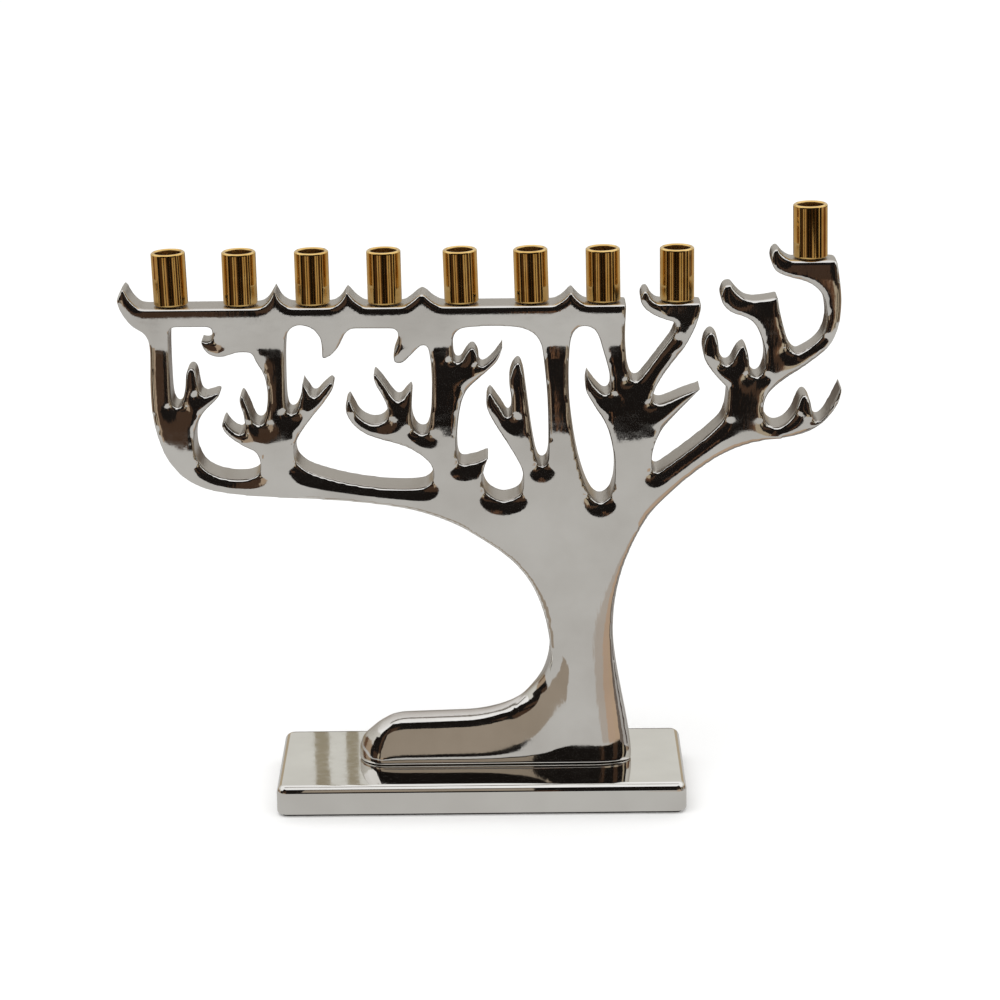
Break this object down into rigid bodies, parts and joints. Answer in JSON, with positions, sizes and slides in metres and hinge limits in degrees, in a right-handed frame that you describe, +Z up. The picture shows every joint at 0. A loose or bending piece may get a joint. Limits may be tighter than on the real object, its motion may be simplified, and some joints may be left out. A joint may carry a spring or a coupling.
{
  "type": "menorah",
  "caption": "Free-standing tree-shaped menorah: a pierced cast tree on a flat plate carries a row of turned candle cups and one raised helper cup.",
  "frame": {"origin": "centre of the flat underside of the felt pad, the face it stands on", "axes": "+X to the right of someone facing the front, towards the raised helper cup; +Y away from them; +Z up"},
  "size_m": [0.2875, 0.068, 0.2438],
  "materials": {
    "polished_casting": "hand-polished cast aluminium with rougher walls inside the openings",
    "polished_plate": "polished plate with rounded edges",
    "turned_brass": "polished turned brass with fine turning lines",
    "steel_fasteners": "plain zinc-plated steel",
    "felt": "dark wool felt"
  },
  "bodies": {
    "root": {"felt_pad": "felt", "base_plate": "polished_plate", "tree_casting": "polished_casting", "base_washer_left": "steel_fasteners", "base_screw_left": "steel_fasteners", "base_washer_right": "steel_fasteners", "base_screw_right": "steel_fasteners", "candle_cup_1": "turned_brass", "candle_cup_2": "turned_brass", "candle_cup_3": "turned_brass", "candle_cup_4": "turned_brass", "candle_cup_5": "turned_brass", "candle_cup_6": "turned_brass", "candle_cup_7": "turned_brass", "candle_cup_8": "turned_brass", "shamash_cup": "turned_brass", "cup_screw_1": "steel_fasteners", "cup_screw_2": "steel_fasteners", "cup_screw_3": "steel_fasteners", "cup_screw_4": "steel_fasteners", "cup_screw_5": "steel_fasteners", "cup_screw_6": "steel_fasteners", "cup_screw_7": "steel_fasteners", "cup_screw_8": "steel_fasteners", "shamash_cup_screw": "steel_fasteners"}
  },
  "joints": []
}
